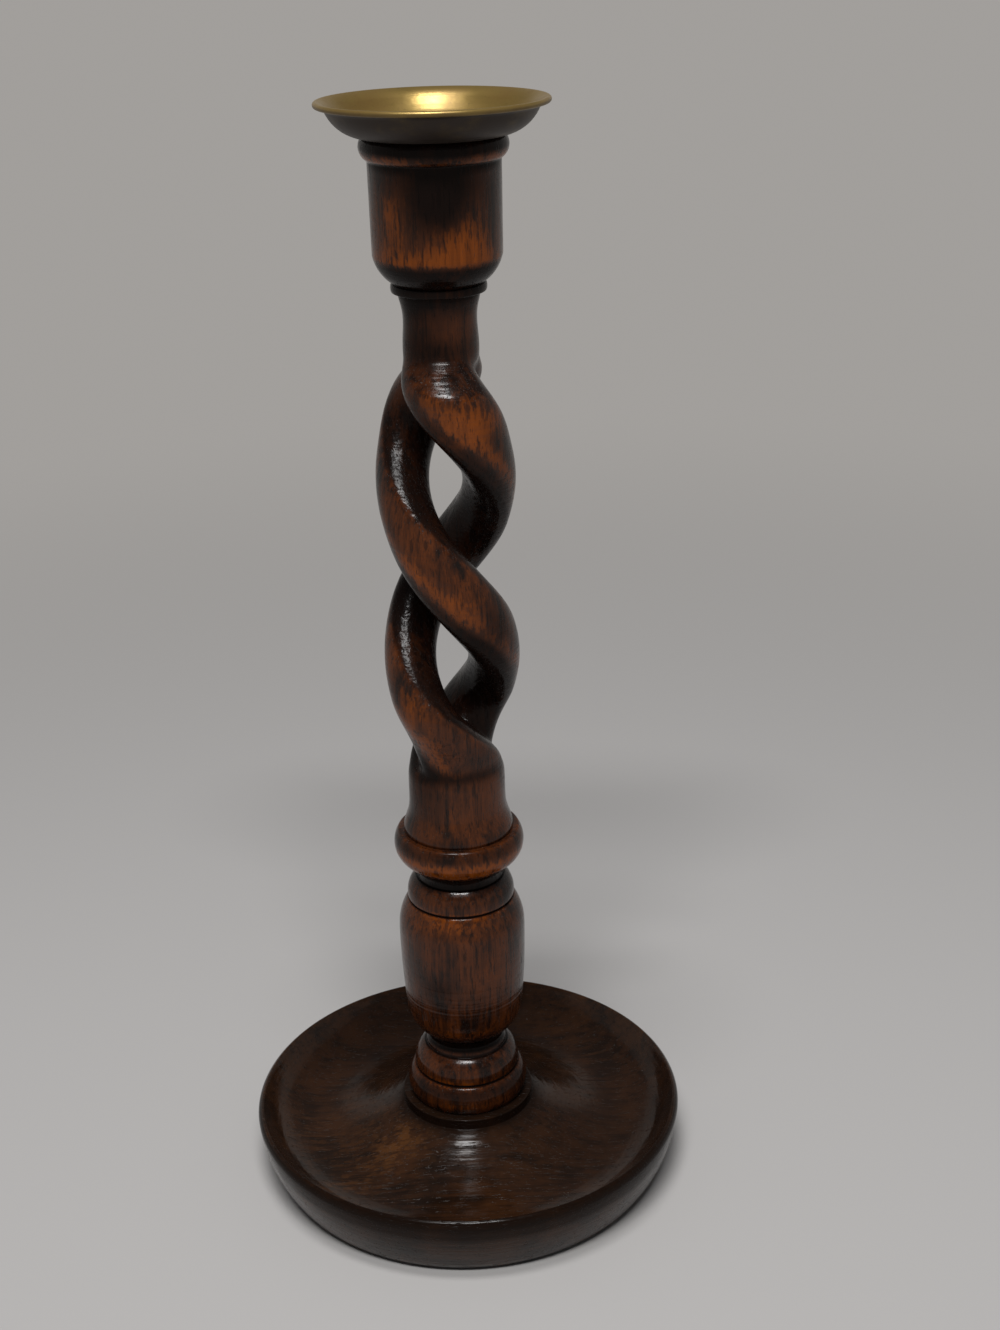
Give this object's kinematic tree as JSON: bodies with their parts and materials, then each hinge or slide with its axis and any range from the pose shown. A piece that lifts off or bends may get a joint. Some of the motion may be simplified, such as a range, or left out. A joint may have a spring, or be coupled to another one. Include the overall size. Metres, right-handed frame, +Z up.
{
  "type": "candle holder",
  "caption": "Turned oak candle holder with an open spiral stem on a dished round base, a loose brass drip pan and a brass candle socket that lift out of the wooden cup",
  "frame": {"origin": "on the floor under the middle of the base, on the axis of the stem", "axes": "+Z up along the stem, -Y towards the viewer of the picture, +X to the viewer's right"},
  "size_m": [0.1244, 0.1244, 0.3042],
  "materials": {
    "oak_base": "dark stained oak, waxed and polished, worn lighter along the rim",
    "oak_stem": "dark stained oak, waxed and polished, worn orange-brown on edges, with dark pores along the grain",
    "brass_pan": "satin old brass, bright along the lip, dull dark patina underneath",
    "brass_nozzle": "satin old brass",
    "steel": "plain steel, dulled",
    "baize": "dark green baize"
  },
  "bodies": {
    "stand": {"base_dish": "oak_base", "twist_stem": "oak_stem", "base_screw": "steel", "baize_pad": "baize"},
    "pan": {"drip_pan": "brass_pan"},
    "nozzle": {"candle_nozzle": "brass_nozzle"}
  },
  "joints": [
    {"name": "pan_lift", "type": "slide", "parent": "stand", "child": "pan", "axis": [0, 0, 1], "range_m": [0, 0.03]},
    {"name": "nozzle_lift", "type": "slide", "parent": "pan", "child": "nozzle", "axis": [0, 0, 1], "range_m": [0, 0.03]}
  ]
}
